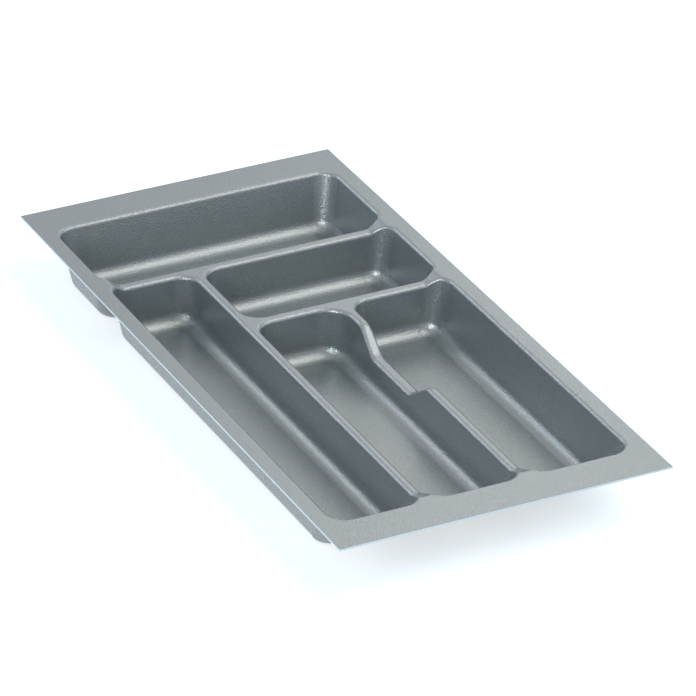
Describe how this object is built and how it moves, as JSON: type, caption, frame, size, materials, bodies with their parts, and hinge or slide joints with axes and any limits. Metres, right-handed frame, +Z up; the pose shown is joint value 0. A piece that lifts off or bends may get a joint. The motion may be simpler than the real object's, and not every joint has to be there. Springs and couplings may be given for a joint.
{
  "type": "cutlery tray",
  "caption": "Drop-in drawer tray vacuum formed from grained silver-grey plastic sheet: open drafted wells between low dividers inside a flat trim-to-fit flange.",
  "frame": {"origin": "on the face that the tray rests on, under the middle of its outline", "axes": "+X to the right, +Y to the back of the drawer along the tray's length, +Z up"},
  "size_m": [0.23, 0.49, 0.0405],
  "materials": {
    "sheet": "satin silver-grey with a fine pebbled grain"
  },
  "bodies": {
    "root": {"rim_front": "sheet", "rim_back": "sheet", "rim_left": "sheet", "rim_right": "sheet", "back_divider": "sheet", "long_divider": "sheet", "middle_divider": "sheet", "stepped_divider": "sheet", "back_well": "sheet", "left_well": "sheet", "middle_well": "sheet", "centre_well": "sheet", "right_well": "sheet"}
  },
  "joints": []
}
